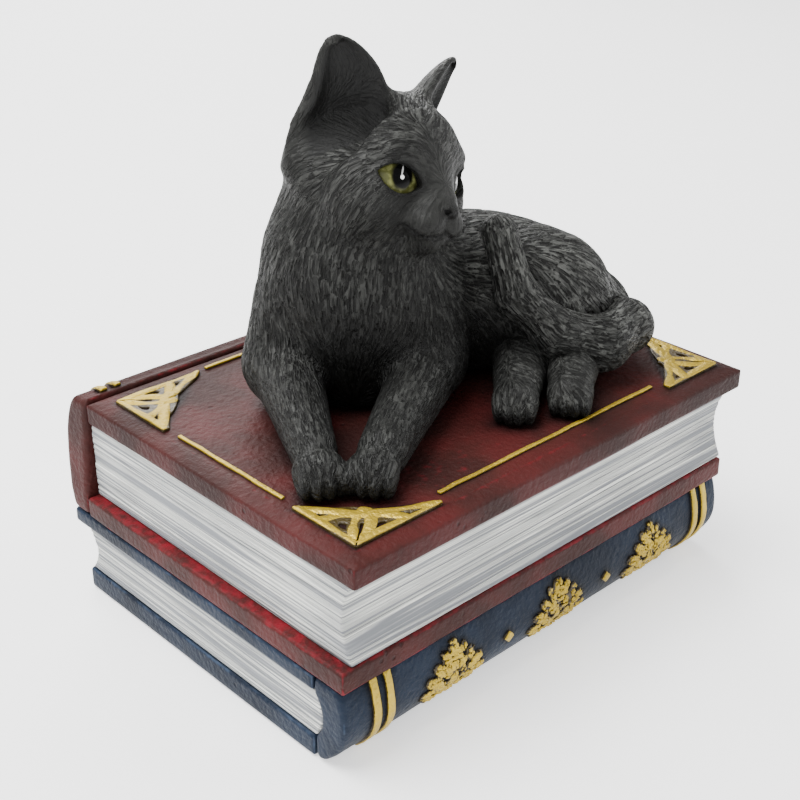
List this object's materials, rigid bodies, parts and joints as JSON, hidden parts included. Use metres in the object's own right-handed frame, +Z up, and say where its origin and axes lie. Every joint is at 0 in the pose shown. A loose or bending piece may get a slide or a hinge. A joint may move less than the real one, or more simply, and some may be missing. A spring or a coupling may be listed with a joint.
{
  "type": "lidded figurine box",
  "caption": "Hand-painted cast figurine of a black cat resting on two stacked old books; the cat and the top book's pages lift off as the lid of a small keepsake box.",
  "frame": {"origin": "on the floor under the middle of the object's box", "axes": "+Z up; -Y is the side with the upper book's fore-edge and the lower book's spine; X runs along the spines, the cat's forepaws towards -X"},
  "size_m": [0.1424, 0.1147, 0.1494],
  "materials": {
    "cat_black": "matte black paint with carved fur and a dry-brushed grey",
    "eye_gloss": "glossy yellow-green painted eye",
    "maroon_cover": "satin maroon paint with a brown wash",
    "navy_cover": "satin slate-navy paint",
    "pages": "off-white paint with a grey-blue wash in carved page lines",
    "gilt": "gold paint with a dark wash",
    "felt": "black felt"
  },
  "bodies": {
    "base": {"felt_pads": "felt", "lower_book_band_pair_left": "gilt", "lower_book_band_pair_right": "gilt", "lower_book_foliage_1": "gilt", "lower_book_foliage_2": "gilt", "lower_book_foliage_3": "gilt", "lower_book_lower_board": "navy_cover", "lower_book_lozenges": "gilt", "lower_book_pages": "pages", "lower_book_spine": "navy_cover", "lower_book_upper_board": "navy_cover", "upper_book_band_pair_left": "gilt", "upper_book_band_pair_right": "gilt", "upper_book_foliage_1": "gilt", "upper_book_foliage_2": "gilt", "upper_book_foliage_3": "gilt", "upper_book_lower_board": "maroon_cover", "upper_book_lozenges": "gilt", "upper_book_spine": "maroon_cover"},
    "lid": {"cat_far_hind_paw": "cat_black", "cat_haunch": "cat_black", "cat_head": "cat_black", "cat_left_ear": "cat_black", "cat_left_eye": "eye_gloss", "cat_left_foreleg": "cat_black", "cat_near_hind_paw": "cat_black", "cat_right_ear": "cat_black", "cat_right_eye": "eye_gloss", "cat_right_foreleg": "cat_black", "cat_tail": "cat_black", "cat_torso": "cat_black", "corner_ornament_back_left": "gilt", "corner_ornament_back_right": "gilt", "corner_ornament_front_left": "gilt", "corner_ornament_front_right": "gilt", "gilt_line_back": "gilt", "gilt_line_front": "gilt", "gilt_line_left": "gilt", "gilt_line_right": "gilt", "lid_rim": "pages", "upper_book_pages": "pages", "upper_book_top_board": "maroon_cover"}
  },
  "joints": [
    {"name": "lid_lift", "type": "slide", "parent": "base", "child": "lid", "axis": [0, 0, 1], "range_m": [0, 0.06]}
  ]
}
